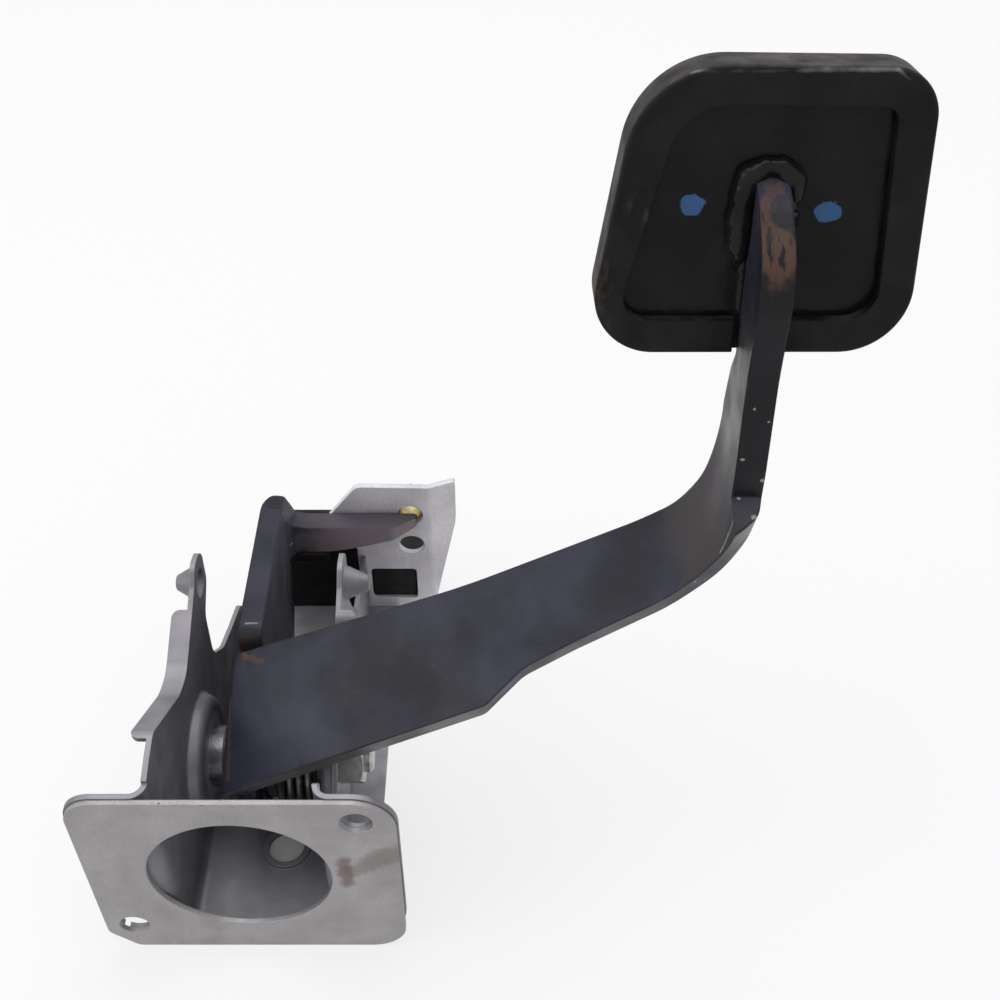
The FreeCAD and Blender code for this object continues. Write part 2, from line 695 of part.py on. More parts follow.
def make_lateral_part():
    """The lateral part with both bends, cut to the width that narrows towards the upright."""
    low = lateral_lower(LATERAL_LEFT_X)
    high = right_bend_n()
    section = [
        (LATERAL_LEFT_X, low, LEFT_EDGE / 2),
        (LATERAL_LEFT_X, lateral_upper(LATERAL_LEFT_X), LEFT_EDGE),
        (UPRIGHT_INNER_X, lateral_upper(UPRIGHT_INNER_X), RIGHT_BEND - 0.001),
        (UPRIGHT_INNER_X, high),
        (UPRIGHT_OUTER_X, high),
        (UPRIGHT_OUTER_X, lateral_lower(UPRIGHT_OUTER_X), RIGHT_BEND + ARM_PLATE - 0.001),
        (SIDE_INNER_X, lateral_lower(SIDE_INNER_X), LEFT_BEND - 0.001),
        (SIDE_INNER_X, low),
    ]
    widest = FAR_EDGE_START_W + 60.0
    strip = outline(section, lambda a, b: in_arm(a, b, 0)).extrude(in_arm(0, 0, widest))
    width = [
        (LATERAL_LEFT_X - 1, NEAR_EDGE_START_W),
        (66.5, 37.6, 4.0),
        (76.5, 46.2, 10.0),
        (90.0, 51.2, 60.0),
        (112.0, 58.2, 60.0),
        (125.0, 63.8, 20.0),
        (130.0, 68.2, 6.0),
        (UPRIGHT_OUTER_X, UPRIGHT_NEAR_W),
        (UPRIGHT_OUTER_X, UPRIGHT_FAR_W),
        (UPRIGHT_INNER_X - TRIM_REACH + 1, UPRIGHT_FAR_W),
        (UPRIGHT_INNER_X - TRIM_REACH + 1, 82.0),
        (104.0, 80.0, 60.0),
        (60.0, 71.5, 200.0),
        (LATERAL_LEFT_X - 1, FAR_EDGE_START_W),
    ]
    prism = outline(width, lambda a, b: in_arm(a, low - 1, b)).extrude(in_arm(0, high - low + 2, 0))
    far_edge = [
        (UPRIGHT_FAR_W, high),
        (93.8, 81.0, 20.0),
        (86.6, 72.5, 20.0),
        (82.6, 64.0, 20.0),
        (80.5, 57.0, 20.0),
        (80.0, 45.0),
        (widest, 45.0),
        (widest, high),
    ]
    trim_face = outline(far_edge, lambda a, b: in_arm(UPRIGHT_INNER_X - TRIM_REACH, b, a))
    trim = trim_face.extrude(V(TRIM_REACH + 2 * ARM_PLATE, 0, 0))
    return strip.common(prism).cut(trim)


def make_side_plate():
    """The side plate: it carries the hub, the pushrod pin hole and, at its rear, the blade."""
    low = lateral_lower(LATERAL_LEFT_X)
    near = in_arm(0, low, NEAR_EDGE_START_W)
    far = in_arm(0, low, FAR_EDGE_START_W)
    tangent_y = BLADE_FRONT_Y - BLADE_BEND
    eye = HUB_EYE_RADIUS
    points = [
        (near.y, near.z),
        (far.y, far.z),
        (SIDE_FRONT_Y, SIDE_TOP_Z, 5.0),
        (tangent_y, SIDE_TOP_Z),
        (tangent_y, BLADE_BOTTOM_Z - 13.0, 6.0),
        (tangent_y - 14.0, BLADE_BOTTOM_Z - 27.0, 10.0),
        (PIVOT_Y + eye, PIVOT_Z - eye, eye * 0.7),
        (PIVOT_Y - eye, PIVOT_Z - eye, eye * 0.95),
        (PIVOT_Y - eye, PIVOT_Z + 4.0, 10.0),
    ]
    plate = plate_x(points, SIDE_OUTER_X, SIDE_INNER_X)
    hub_hole = tube_x(HUB_RADIUS, SIDE_OUTER_X - 1, SIDE_INNER_X + 1)
    pin_hole = tube_x(PUSHROD_HOLE / 2, SIDE_OUTER_X - 1, SIDE_INNER_X + 1, PUSHROD_Y, PUSHROD_Z)
    return plate.cut([hub_hole, pin_hole])


def make_blade():
    """The rear blade: the side plate's end folded to the right and tapered to a point."""
    start_y = BLADE_FRONT_Y - BLADE_BEND
    section = [
        (SIDE_OUTER_X, start_y),
        (SIDE_OUTER_X, BLADE_BACK_Y, BLADE_BEND + ARM_PLATE - 0.001),
        (BLADE_TIP_X, BLADE_BACK_Y),
        (BLADE_TIP_X, BLADE_BACK_Y - 2.0, 1.5),
        (BLADE_TIP_X - 8.0, BLADE_FRONT_Y, 4.0),
        (SIDE_INNER_X, BLADE_FRONT_Y, BLADE_BEND - 0.001),
        (SIDE_INNER_X, start_y),
    ]
    strip = plate_z(section, BLADE_BOTTOM_Z - 1, SIDE_TOP_Z + 1)
    top = BLADE_TOP_Z
    front_view = [
        (SIDE_OUTER_X - 1, BLADE_BOTTOM_Z),
        (15.0, BLADE_BOTTOM_Z, 60.0),
        (33.5, BLADE_BOTTOM_Z + 5.5, 30.0),
        (BLADE_TIP_X, top - 4.0, 2.0),
        (BLADE_TIP_X, top, 1.5),
        (5.0, top, 4.0),
        (1.8, top + 1.2, 1.0),
        (-0.9, SIDE_TOP_Z - 3.8, 2.5),
        (-4.5, SIDE_TOP_Z - 0.8, 3.0),
        (SIDE_OUTER_X - 1, SIDE_TOP_Z),
    ]
    return strip.common(plate_y(front_view, start_y - 1, BLADE_BACK_Y + 1))


def make_upright():
    """The upright, whose end meets the pad plate's back along its whole height."""
    high = right_bend_n()
    near = in_arm(0, high, UPRIGHT_NEAR_W)
    far = in_arm(0, high, UPRIGHT_FAR_W)
    plate_high = in_pad(0, 9.0, 0)
    plate_low = in_pad(0, -25.5, 0)
    rubber_low = in_pad(0, -33.5, -0.4)
    points = [
        (near.y, near.z),
        (34.6, 116.0, 20.0),
        (38.0, 141.0, 60.0),
        (37.4, 166.0, 16.0),
        (52.0, 175.5, 12.0),
        (plate_high.y, plate_high.z),
        (plate_low.y, plate_low.z),
        (rubber_low.y, rubber_low.z),
        (far.y - 2.0, rubber_low.z - 6.2, 8.0),
        (far.y, far.z),
    ]
    return plate_x(points, UPRIGHT_INNER_X, UPRIGHT_OUTER_X)


def make_pedal_arm():
    side = make_side_plate()
    arm = side.fuse([make_lateral_part(), make_blade(), make_upright()])
    return arm.removeSplitter()


def pad_prism(points, t_start, t_end):
    face = outline(points, lambda a, b: in_pad(a, b, t_start))
    return face.extrude(in_pad(0, 0, t_end) - in_pad(0, 0, t_start))


def pad_outline(inset):
    """The pad's outline, drawn in from the rubber's outer edge."""
    return [
        (-38.2 + 0.9 * inset, -32.3 + inset, 13.5 - inset),
        (-28.0 + 1.1 * inset, 31.6 - inset, 21.0 - inset),
        (32.7 - inset, 30.9 - inset, 11.0 - inset),
        (34.8 - inset, -32.2 + inset, 15.0 - inset),
    ]


def make_pad_plate():
    return pad_prism(pad_outline(PAD_WALL), 0, PAD_PLATE)


def make_pad_rubber():
    """The rubber cover: a tread with ribs, side walls, and a lip that grips the plate's back."""
    face_t = PAD_PLATE + PAD_TREAD
    body = pad_prism(pad_outline(0), -PAD_LIP, face_t)
    body = body.makeFillet(RUBBER_EDGE, rim_edges(body, face_t))
    body = body.makeFillet(RUBBER_LIP_EDGE, rim_edges(body, -PAD_LIP))
    opening = pad_prism(pad_outline(PAD_LIP_WIDTH), -PAD_LIP - 1, 0)
    body = body.cut([make_pad_plate(), opening])
    half_notch = ARM_PLATE / 2 + ARM_NOTCH_CLEARANCE
    middle = (UPRIGHT_INNER_X + UPRIGHT_OUTER_X) / 2 - PAD_X
    notch = pad_prism(
        [
            (middle - half_notch, -40.0),
            (middle + half_notch, -40.0),
            (middle + half_notch, -20.0),
            (middle - half_notch, -20.0),
        ],
        -PAD_LIP - 1,
        0,
    )
    body = body.cut(notch)
    ribs = []
    for i in range(TREAD_RIBS):
        v = (i - (TREAD_RIBS - 1) / 2) * TREAD_RIB_PITCH
        ribs.append(
            pad_prism(
                [
                    (-60.0, v - TREAD_RIB_WIDTH / 2),
                    (60.0, v - TREAD_RIB_WIDTH / 2),
                    (60.0, v + TREAD_RIB_WIDTH / 2),
                    (-60.0, v + TREAD_RIB_WIDTH / 2),
                ],
                face_t - 0.2,
                face_t + TREAD_RIB,
            )
        )
    field = pad_prism(pad_outline(TREAD_MARGIN), face_t - 0.2, face_t + TREAD_RIB)
    body = body.fuse([rib.common(field) for rib in ribs])
    return body.removeSplitter()


def rim_edges(body, t):
    """The edges of a pad solid that lie in the plane at depth t."""
    normal = in_pad(0, 0, 1) - in_pad(0, 0, 0)
    origin = in_pad(0, 0, t)
    found = []
    for edge in body.Edges:
        ends = [edge.valueAt(edge.FirstParameter), edge.valueAt(edge.LastParameter)]
        if all(abs((p - origin).dot(normal)) < 1e-4 for p in ends):
            found.append(edge)
    return found


def make_return_spring():
    """A torsion spring round the hub: one leg hooks the web, the other lifts the arm.

    Each turn is two half rings, tilted so that they meet a pitch further on."""
    front_y = PIVOT_Y - SPRING_RADIUS
    back_y = PIVOT_Y + SPRING_RADIUS
    point = V(SPRING_FIXED_X, front_y, PIVOT_Z)
    fixed_end = BASE_Z + SHEET / 4
    foot = V(point.x, point.y, fixed_end)
    pieces = [Part.makeCylinder(WIRE / 2, PIVOT_Z - fixed_end, foot, Z_AXIS)]
    for half in range(2 * SPRING_TURNS):
        forwards = half % 2 == 0
        ahead_y = back_y if forwards else front_y
        ahead = V(point.x - SPRING_PITCH / 2, ahead_y, PIVOT_Z)
        rising = Z_AXIS if forwards else -Z_AXIS
        section = Part.Face(Part.Wire(Part.makeCircle(WIRE / 2, point, Z_AXIS)))
        middle = (point + ahead) / 2
        pieces.append(section.revolve(middle, rising.cross(ahead - point), 180))
        point = ahead
    seat_n = lateral_lower(point.x - WIRE / 2)
    seat_y = front_y - WIRE / 2
    seat_z = (seat_n + seat_y * math.sin(TILT)) / math.cos(TILT)
    pieces.append(Part.makeCylinder(WIRE / 2, seat_z - PIVOT_Z, point, Z_AXIS))
    return pieces[0].fuse(pieces[1:])


def main():
    os.makedirs("parts", exist_ok=True)
    rear_plate = make_rear_plate()
    save(make_flange_plate(), "flange_plate")
    save(make_channel_bracket(), "channel_bracket")
    save(rear_plate, "rear_plate")
    save(make_rear_weld_nut(), "rear_weld_nut")
    save(make_stop_bumper(rear_plate), "stop_bumper")
    save(make_pivot_bolt(), "pivot_bolt")
    save(make_pivot_nut(), "pivot_nut")
    save(make_pivot_washers(), "pivot_washers")
    save(make_spacer_sleeve(), "spacer_sleeve")
    save(make_bush(1), "bush_right")
    save(make_bush(-1), "bush_left")
    save(make_pivot_hub(), "pivot_hub")
    save(make_pedal_arm(), "pedal_arm")
    save(make_pad_plate(), "pad_plate")
    save(make_pad_rubber(), "pad_rubber")
    save(make_return_spring(), "return_spring")


main()
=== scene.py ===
import math
import random

import bmesh
import bpy
from mathutils import Matrix, Vector


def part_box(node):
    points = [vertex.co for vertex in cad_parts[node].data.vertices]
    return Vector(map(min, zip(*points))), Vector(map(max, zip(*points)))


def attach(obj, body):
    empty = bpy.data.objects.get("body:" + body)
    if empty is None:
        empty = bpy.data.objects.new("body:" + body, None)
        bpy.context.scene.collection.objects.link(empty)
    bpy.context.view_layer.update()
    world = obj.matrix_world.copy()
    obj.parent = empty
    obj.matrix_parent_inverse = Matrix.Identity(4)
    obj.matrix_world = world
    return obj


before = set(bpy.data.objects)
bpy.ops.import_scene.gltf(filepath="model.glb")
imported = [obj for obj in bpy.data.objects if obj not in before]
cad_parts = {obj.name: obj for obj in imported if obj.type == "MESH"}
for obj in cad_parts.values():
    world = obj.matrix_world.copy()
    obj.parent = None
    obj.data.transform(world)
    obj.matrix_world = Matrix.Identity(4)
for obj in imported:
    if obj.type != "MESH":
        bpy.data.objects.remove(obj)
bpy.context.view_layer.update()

# Studio
# A pale floor under the bracket's web, a large soft lamp overhead and a weaker one from the
# left, and the camera of the photo's view, in front of the flange and above it.
floor_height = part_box("channel_bracket")[0].z
floor_half_width = 4.0
floor_white = (0.86, 0.86, 0.86, 1)
floor_glow_share = 0.72
web_shade_centre = (0.0, 0.065, floor_height)
web_shade_reach = (0.019, 0.062, 0.01)
sky_light_level = 0.55
lamp_aim = Vector((0.06, 0.06, 0.06))
camera_place = (0.0703, -0.186, 0.318)
camera_tilt = math.radians(46.37)
camera_lens = 47.16


def add(material, kind, inputs=None, **settings):
    """Adds a node, sets its properties, and links or sets each named input."""
    made = material.node_tree.nodes.new(kind)
    for key, value in settings.items():
        setattr(made, key, value)
    for key, value in (inputs or {}).items():
        if isinstance(value, bpy.types.NodeSocket):
            material.node_tree.links.new(value, made.inputs[key])
        else:
            made.inputs[key].default_value = value
    return made


def math_of(material, operation, first, second):
    """The output of one Math node."""
    made = add(material, "ShaderNodeMath", {0: first, 1: second}, operation=operation)
    return made.outputs[0]


def vector_math(material, operation, first, second=None, output=0):
    """An output of one Vector Math node: 0 is its vector, "Value" its number."""
    inputs = {0: first} if second is None else {0: first, 1: second}
    return add(material, "ShaderNodeVectorMath", inputs, operation=operation).outputs[output]


def both(material, first, second):
    """A mask of the places where two masks overlap."""
    return math_of(material, "MULTIPLY", first, second)


def either(material, first, second):
    """A mask of the places of one mask or of the other."""
    return math_of(material, "MAXIMUM", first, second)


def place_on(material):
    """The object's own coordinates, in metres, at the shaded point."""
    return add(material, "ShaderNodeTexCoord").outputs["Object"]


def smooth_range(material, value, low, high):
    """A number that eases from 0 where value is low to 1 where it is high."""
    made = add(
        material,
        "ShaderNodeMapRange",
        {"Value": value, "From Min": low, "From Max": high},
        interpolation_type="SMOOTHSTEP",
    )
    return made.outputs["Result"]


def cloud(material, scale, low, high, detail=4.0, stretch=(1, 1, 1), turn=(0, 0, 0)):
    """A 0 to 1 mask of soft blotches, with about scale of them to the metre."""
    turned = add(
        material,
        "ShaderNodeMapping",
        {"Vector": place_on(material), "Rotation": turn, "Scale": stretch},
    )
    noise = add(
        material,
        "ShaderNodeTexNoise",
        {"Vector": turned.outputs[0], "Scale": scale, "Detail": detail},
    )
    return smooth_range(material, noise.outputs[0], low, high)


def torn_edge(material, distance, ragged, grain, softness):
    """A 0 to 1 mask, 1 where distance is well under 1, with a torn and softened rim."""
    tear = math_of(material, "SUBTRACT", cloud(material, grain, 0, 1), 0.5)
    frayed = math_of(material, "ADD", distance, math_of(material, "MULTIPLY", tear, ragged))
    return smooth_range(material, frayed, 1.0, 1.0 - softness)


def spot(material, centre, reach, ragged=0.5, grain=400.0, softness=0.25):
    """A mask, 1 round centre and 0 beyond reach on each axis, both in metres."""
    away = vector_math(material, "SUBTRACT", place_on(material), centre)
    shrunk = vector_math(material, "DIVIDE", away, reach)
    distance = vector_math(material, "LENGTH", shrunk, output="Value")
    return torn_edge(material, distance, ragged, grain, softness)


def backdrop_rays(material):
    """A mask of the rays that show the backdrop: seen straight, mirrored or through glass."""
    rays = add(material, "ShaderNodeLightPath").outputs
    straight_or_mirrored = either(material, rays["Is Camera Ray"], rays["Is Glossy Ray"])
    return either(material, straight_or_mirrored, rays["Is Transmission Ray"])


floor_paint = bpy.data.materials.new("studio_floor")
floor_paint.use_nodes = True
floor_shader = floor_paint.node_tree.nodes["Principled BSDF"]
floor_shader.inputs["Base Color"].default_value = floor_white
floor_shader.inputs["Roughness"].default_value = 0.9
floor_glow = add(floor_paint, "ShaderNodeEmission", {"Color": (1, 1, 1, 1), "Strength": 1.0})
under_web = spot(floor_paint, web_shade_centre, web_shade_reach, ragged=0.0)
glow_share = math_of(
    floor_paint,
    "SUBTRACT",
    floor_glow_share,
    math_of(floor_paint, "MULTIPLY", under_web, floor_glow_share),
)
floor_mix = add(
    floor_paint,
    "ShaderNodeMixShader",
    {
        0: both(floor_paint, backdrop_rays(floor_paint), glow_share),
        1: floor_shader.outputs[0],
        2: floor_glow.outputs[0],
    },
)
floor_surface = floor_paint.node_tree.nodes["Material Output"].inputs["Surface"]
floor_paint.node_tree.links.new(floor_mix.outputs[0], floor_surface)
floor_shape = bmesh.new()
bmesh.ops.create_grid(floor_shape, x_segments=1, y_segments=1, size=floor_half_width)
bmesh.ops.translate(floor_shape, verts=floor_shape.verts, vec=(0, 0, floor_height))
floor_mesh = bpy.data.meshes.new("studio_floor")
floor_shape.to_mesh(floor_mesh)
floor_shape.free()
floor_mesh.materials.append(floor_paint)
floor = bpy.data.objects.new("studio_floor", floor_mesh)
bpy.context.scene.collection.objects.link(floor)

sky = bpy.data.worlds.new("studio_air")
sky.use_nodes = True
sky_strength = add(
    sky,
    "ShaderNodeMapRange",
    {"Value": backdrop_rays(sky), "To Min": sky_light_level, "To Max": 1.0},
)
sky_light = sky.node_tree.nodes["Background"]
sky_light.inputs["Color"].default_value = (1, 1, 1, 1)
sky.node_tree.links.new(sky_strength.outputs["Result"], sky_light.inputs["Strength"])
bpy.context.scene.world = sky

for lamp_name, lamp_place, lamp_size, lamp_power in (
    ("overhead_lamp", (0.1, 0.35, 1.3), 1.2, 9.0),
    ("left_lamp", (-1.0, -0.2, 0.7), 0.8, 4.0),
):
    lamp_data = bpy.data.lights.new(lamp_name, "AREA")
    lamp_data.size = lamp_size
    lamp_data.energy = lamp_power
    lamp = bpy.data.objects.new(lamp_name, lamp_data)
    lamp.location = lamp_place
    aim = lamp_aim - Vector(lamp_place)
    lamp.rotation_euler = aim.to_track_quat("-Z", "Y").to_euler()
    bpy.context.scene.collection.objects.link(lamp)

camera_data = bpy.data.cameras.new("photo_camera")
camera_data.lens = camera_lens
camera_data.sensor_width = 36.0
camera_data.clip_start = 0.01
camera = bpy.data.objects.new("photo_camera", camera_data)
camera.location = camera_place
camera.rotation_euler = (camera_tilt, 0, 0)
bpy.context.scene.collection.objects.link(camera)
bpy.context.scene.camera = camera
bpy.context.scene.view_settings.view_transform = "Standard"


# Fixing flange
# A flat pressing of 1.5 mm steel sheet, zinc plated, with a brown smear beside the cylinder
# hole and dark specks along its upper edge.
flange_dark = (0.335, 0.32, 0.333, 1)
flange_light = (0.41, 0.392, 0.407, 1)
zinc_grain_grey = (0.16, 0.158, 0.155, 1)
zinc_rubbed_grey = (0.5, 0.5, 0.5, 1)
smear_tan = (0.20, 0.172, 0.155, 1)
smear_red = (0.15, 0.10, 0.092, 1)
smear_grain = 260.0
red_low = (0.0288, 0, -0.0032)
red_high = (0.0285, 0, 0.0078)
red_half_width = 0.0030
tan_left = (0.0315, 0, 0.0030)
tan_middle = (0.0372, 0, 0.0082)
tan_right = (0.0440, 0, 0.0120)
tan_left_half_width = 0.0046
tan_right_half_width = 0.0052
speck_black = (0.04, 0.038, 0.036, 1)
specks_centre = (-0.010, 0.0, 0.0345)
specks_reach = (0.014, 0.01, 0.0022)
stain_grey = (0.185, 0.175, 0.165, 1)


def outside(material, mask):
    """A mask of the places that mask leaves free."""
    return math_of(material, "SUBTRACT", 1.0, mask)


def stroke(material, start, end, half_width, ragged=0.5, grain=600.0, softness=0.5):
    """A mask of a torn streak from start to end, in metres."""
    run = Vector(end) - Vector(start)
    away = vector_math(material, "SUBTRACT", place_on(material), start)
    part = vector_math(material, "DOT_PRODUCT", away, run / run.length_squared, output="Value")
    held = add(material, "ShaderNodeMapRange", {"Value": part}).outputs["Result"]
    foot = add(material, "ShaderNodeVectorMath", {0: run, "Scale": held}, operation="SCALE")
    aside = vector_math(material, "DISTANCE", away, foot.outputs[0], output="Value")
    distance = math_of(material, "DIVIDE", aside, half_width)
    return torn_edge(material, distance, ragged, grain, softness)


def rounded(material, radius):
    """The shading normal of a surface whose sharp edges are rolled to radius."""
    return add(material, "ShaderNodeBevel", {"Radius": radius}, samples=6).outputs[0]


def rubbed_edges(material, radius, start=0.04, full=0.25):
    """A mask of the narrow band along sharp edges, where a finish wears first."""
    flat = add(material, "ShaderNodeNewGeometry").outputs["Normal"]
    along = vector_math(material, "DOT_PRODUCT", rounded(material, radius), flat, output="Value")
    made = add(
        material,
        "ShaderNodeMapRange",
        {"Value": outside(material, along), "From Min": start, "From Max": full},
    )
    return made.outputs["Result"]


def over(material, under, top, mask, share=1.0):
    """One colour laid over another where mask is 1, as thickly as share says."""
    if share < 1.0:
        mask = math_of(material, "MULTIPLY", mask, share)
    mix = add(material, "ShaderNodeMix", {0: mask, 6: under, 7: top}, data_type="RGBA")
    return mix.outputs[2]


def between(material, mask, low, high):
    """A number that runs from low to high as mask runs from 0 to 1."""
    made = add(material, "ShaderNodeMapRange", {"Value": mask, "To Min": low, "To Max": high})
    return made.outputs["Result"]


def bumps(material, height, depth, base=None):
    """The shading normal of a surface whose height mask stands depth metres proud."""
    made = add(material, "ShaderNodeBump", {"Height": height, "Distance": depth, "Strength": 1.0})
    if base is not None:
        material.node_tree.links.new(base, made.inputs["Normal"])
    return made.outputs["Normal"]


def new_finish(name):
    """An empty finish, to be filled by settle."""
    material = bpy.data.materials.new(name)
    material.use_nodes = True
    return material


def settle(material, colour, roughness, normal=None, metallic=0.0, specular=0.5):
    """Joins a finish's colour, roughness and normal to its shader."""
    shader = material.node_tree.nodes["Principled BSDF"]
    material.node_tree.links.new(colour, shader.inputs["Base Color"])
    material.node_tree.links.new(roughness, shader.inputs["Roughness"])
    if normal is not None:
        material.node_tree.links.new(normal, shader.inputs["Normal"])
    shader.inputs["Metallic"].default_value = metallic
    shader.inputs["Specular IOR Level"].default_value = specular
    return material


def zinc_sheet(name, dark, light):
    """Dull zinc plating: soft grey blotches, fine grain and paler rubbed edges."""
    material = new_finish(name)
    blotches = cloud(material, 55.0, 0.3, 0.7)
    grain = cloud(material, 1400.0, 0.25, 0.75, detail=2.0)
    colour = over(material, dark, light, blotches)
    colour = over(material, colour, zinc_grain_grey, grain, share=0.22)
    colour = over(material, colour, zinc_rubbed_grey, rubbed_edges(material, 0.0006), share=0.35)
    roughness = between(material, cloud(material, 120.0, 0.3, 0.7), 0.42, 0.6)
    dents = cloud(material, 260.0, 0.2, 0.8, detail=3.0)
    normal = bumps(material, dents, 0.00006, rounded(material, 0.0005))
    return material, colour, roughness, normal


def wear(piece, material):
    """Gives a CAD node or a new piece its finish."""
    if piece.data.materials:
        for held in piece.material_slots:
            held.material = material
    else:
        piece.data.materials.append(material)


flange_finish, flange_colour, flange_rough, flange_normal = zinc_sheet(
    "flange_zinc", flange_dark, flange_light
)
tan_smear = either(
    flange_finish,
    stroke(
        flange_finish,
        tan_left,
        tan_middle,
        tan_left_half_width,
        ragged=0.8,
        grain=smear_grain,
        softness=0.7,
    ),
    stroke(
        flange_finish,
        tan_middle,
        tan_right,
        tan_right_half_width,
        ragged=0.6,
        grain=smear_grain,
        softness=0.6,
    ),
)
red_smear = stroke(
    flange_finish,
    red_low,
    red_high,
    red_half_width,
    ragged=0.8,
    grain=smear_grain,
    softness=0.8,
)
specks = both(
    flange_finish,
    cloud(flange_finish, 900.0, 0.64, 0.70, detail=2.0),
    spot(flange_finish, specks_centre, specks_reach, ragged=0.6, softness=0.5),
)
stains = cloud(flange_finish, 38.0, 0.56, 0.7)
flange_colour = over(flange_finish, flange_colour, smear_tan, tan_smear, share=0.7)
flange_colour = over(flange_finish, flange_colour, smear_red, red_smear, share=0.75)
flange_colour = over(flange_finish, flange_colour, speck_black, specks)
flange_colour = over(flange_finish, flange_colour, stain_grey, stains, share=0.35)
settle(flange_finish, flange_colour, flange_rough, flange_normal, metallic=0.55)
wear(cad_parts["flange_plate"], flange_finish)


# Channel bracket
# A second pressing of the same zinc-plated sheet, folded into a channel behind the flange,
# with tabs, pressed ears, and a dish in each wall for the pivot. Its left dish is painted
# paler, a painted highlight, and faces that look up are painted paler as painted light.
channel_dark = (0.172, 0.165, 0.184, 1)
channel_light = (0.222, 0.214, 0.236, 1)
channel_grime = (0.12, 0.12, 0.125, 1)
dish_painted_highlight = (0.38, 0.37, 0.42, 1)
upward_painted_light = (0.36, 0.35, 0.38, 1)
hub_low, hub_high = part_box("pivot_hub")
pivot_y = (hub_low.y + hub_high.y) / 2
pivot_z = (hub_low.z + hub_high.z) / 2
dish_centre = (-0.0165, pivot_y, pivot_z)
dish_reach = (0.009, 0.0140, 0.0140)


def facing(material, direction, start, full):
    """A mask of the faces that look along direction; start and full are cosines."""
    normal = add(material, "ShaderNodeTexCoord").outputs["Normal"]
    along = vector_math(material, "DOT_PRODUCT", normal, direction, output="Value")
    return smooth_range(material, along, start, full)


channel_finish, channel_colour, channel_rough, channel_normal = zinc_sheet(
    "channel_zinc", channel_dark, channel_light
)
grime = cloud(channel_finish, 30.0, 0.5, 0.75, stretch=(1, 0.5, 1))
# Painted highlight: the left dish is painted paler than the wall round it, for the light it catches.
dish = spot(channel_finish, dish_centre, dish_reach, ragged=0.15, softness=0.2)
# Painted light: faces that look up are painted paler, as if lit from above.
web_face = facing(channel_finish, (0.0, 0.0, 1.0), 0.8, 0.97)
channel_colour = over(channel_finish, channel_colour, channel_grime, grime, share=0.4)
channel_colour = over(channel_finish, channel_colour, dish_painted_highlight, dish, share=0.8)
channel_colour = over(channel_finish, channel_colour, upward_painted_light, web_face, share=0.5)
settle(channel_finish, channel_colour, channel_rough, channel_normal, metallic=0.5)
wear(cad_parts["channel_bracket"], channel_finish)


# Rear plate and its weld nut
# A third zinc-plated pressing, folded at its right edge and welded across the channel's
# rear end, with an M8 nut welded behind its upper hole; the nut's plating is yellowish.
rear_dark = (0.62, 0.60, 0.635, 1)
rear_light = (0.80, 0.78, 0.82, 1)
nut_dark = (0.42, 0.34, 0.16, 1)
nut_light = (0.62, 0.52, 0.28, 1)
plating_rubbed = (0.6, 0.6, 0.58, 1)


def plated_fastener(name, dark, light):
    """Bright plating on turned steel, a little mottled, and paler where its edges rub."""
    material = new_finish(name)
    colour = over(material, dark, light, cloud(material, 300.0, 0.35, 0.65))
    colour = over(material, colour, plating_rubbed, rubbed_edges(material, 0.0004), share=0.5)
    roughness = between(material, cloud(material, 900.0, 0.3, 0.7), 0.28, 0.45)
    normal = bumps(material, cloud(material, 1500.0, 0.2, 0.8, detail=2.0), 0.00003)
    return settle(material, colour, roughness, normal, metallic=0.9)


rear_finish = settle(*zinc_sheet("rear_plate_zinc", rear_dark, rear_light), metallic=0.3)
wear(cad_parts["rear_plate"], rear_finish)
nut_finish = plated_fastener("weld_nut_zinc", nut_dark, nut_light)
wear(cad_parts["rear_weld_nut"], nut_finish)


# Up-stop
# A block of dull black rubber moulded round the rear plate, whose nose the arm's blade
# rests on when the pedal is up. Its black is partly painted shade: it fills the dark seen
# behind the channel's rear end.
stop_dark = (0.006, 0.006, 0.007, 1)
stop_light = (0.012, 0.0115, 0.012, 1)


def dusty_rubber(name, dark, light):
    """Moulded rubber: nearly black, dull, with a fine tooth and a slow ripple."""
    material = new_finish(name)
    colour = over(material, dark, light, cloud(material, 80.0, 0.35, 0.7))
    roughness = between(material, cloud(material, 150.0, 0.3, 0.7), 0.5, 0.68)
    tooth = cloud(material, 2600.0, 0.2, 0.8, detail=2.0)
    ripple = cloud(material, 180.0, 0.2, 0.8, detail=3.0)
    normal = bumps(material, ripple, 0.00012, rounded(material, 0.0008))
    normal = bumps(material, tooth, 0.00002, normal)
    return material, colour, roughness, normal


# The block's near-black is its rubber and also painted shade behind the channel's rear end.
stop_black_and_painted_shade = settle(*dusty_rubber("stop_rubber_and_painted_shade", stop_dark, stop_light), specular=0.2)
wear(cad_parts["stop_bumper"], stop_black_and_painted_shade)


# Pivot
# A plated M10 bolt, nut and washers clamp a steel sleeve between the two dishes. The pedal's
# hub turns on it in two flanged nylon bushes, with the return spring, of steel wire, wound
# round the hub.
bolt_dark = (0.36, 0.36, 0.37, 1)
bolt_light = (0.55, 0.54, 0.52, 1)
sleeve_dark = (0.10, 0.10, 0.11, 1)
sleeve_light = (0.17, 0.165, 0.18, 1)
spring_dark = (0.06, 0.06, 0.062, 1)
spring_light = (0.13, 0.125, 0.12, 1)
nylon_dark = (0.012, 0.012, 0.013, 1)
nylon_light = (0.022, 0.022, 0.024, 1)

bolt_finish = plated_fastener("pivot_zinc", bolt_dark, bolt_light)
for hardware in ("pivot_bolt", "pivot_nut", "pivot_washers"):
    wear(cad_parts[hardware], bolt_finish)
